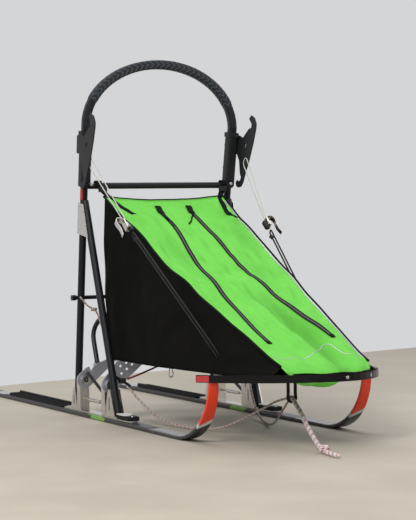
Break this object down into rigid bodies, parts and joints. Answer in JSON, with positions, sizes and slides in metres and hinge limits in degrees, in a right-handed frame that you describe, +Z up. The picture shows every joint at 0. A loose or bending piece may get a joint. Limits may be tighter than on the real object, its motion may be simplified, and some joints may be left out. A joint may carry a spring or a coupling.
{
  "type": "dog sled",
  "caption": "Dog sled on ski runners: tube frame, arched handlebar, sewn cargo bag on rails behind a brush bow, hinged claw brake and rope bridle.",
  "frame": {"origin": "on the floor, half way along the sled and in its middle plane", "axes": "+X forward, the way the sled is drawn; +Y to the sled's left; +Z up"},
  "size_m": [2.0957, 0.5442, 1.082],
  "materials": {
    "aluminium": "bright rolled sheet",
    "anodised_grey": "anodised, satin",
    "bow_black": "smooth",
    "cloth_black": "coated cloth, matt",
    "cloth_green": "coated cloth, matt",
    "cord_black": "braided",
    "cord_red": "braided, red and white",
    "cord_white": "braided",
    "pad_black": "matt, toothed",
    "plate_black": "satin black",
    "rubber_black": "matt",
    "runner_black": "satin, black with an orange front and a pale band",
    "tube_black": "satin black"
  },
  "bodies": {
    "sled": {"bag_back": "cloth_black", "bag_floor": "cloth_black", "bag_side_left": "cloth_black", "bag_side_right": "cloth_black", "bag_top": "cloth_green", "bridle_knot": "cord_red", "bridle_left": "cord_red", "bridle_right": "cord_red", "brush_bow": "bow_black", "bungee_loop": "cord_black", "carrier_left": "aluminium", "carrier_right": "aluminium", "clamp_left": "plate_black", "clamp_right": "plate_black", "cross_bar": "tube_black", "foot_block_left": "rubber_black", "foot_block_right": "rubber_black", "foot_pad_left": "pad_black", "foot_pad_right": "pad_black", "foot_plate_left": "aluminium", "foot_plate_right": "aluminium", "front_bracket_left": "aluminium", "front_bracket_right": "aluminium", "front_bridge": "anodised_grey", "front_leg_left": "tube_black", "front_leg_right": "tube_black", "gusset_left": "aluminium", "gusset_right": "aluminium", "handlebar": "tube_black", "hook_plate_left": "plate_black", "hook_plate_right": "plate_black", "lower_cross_bar": "tube_black", "rail_left": "tube_black", "rail_right": "tube_black", "rear_bracket_left": "aluminium", "rear_bracket_right": "aluminium", "rear_bridge": "anodised_grey", "rear_leg_left": "tube_black", "rear_leg_right": "tube_black", "runner_left": "runner_black", "runner_right": "runner_black", "stay_lever_left": "aluminium", "stay_lever_right": "aluminium", "stay_lower_left": "cord_black", "stay_lower_right": "cord_black", "stay_upper_left": "cord_white", "stay_upper_right": "cord_white", "strut_left": "tube_black", "strut_right": "tube_black", "tie_rod_left": "aluminium", "tie_rod_right": "aluminium", "tow_rope": "cord_red"},
    "brake": {"brake_hoop": "tube_black"}
  },
  "joints": [
    {"name": "brake_hinge", "type": "hinge", "parent": "sled", "child": "brake", "pos_m": [-0.166, 0, 0.15], "axis": [0, -1, 0], "range_deg": [0, 114], "stiffness_Nm_per_rad": 1, "springref_deg": -57.3}
  ]
}
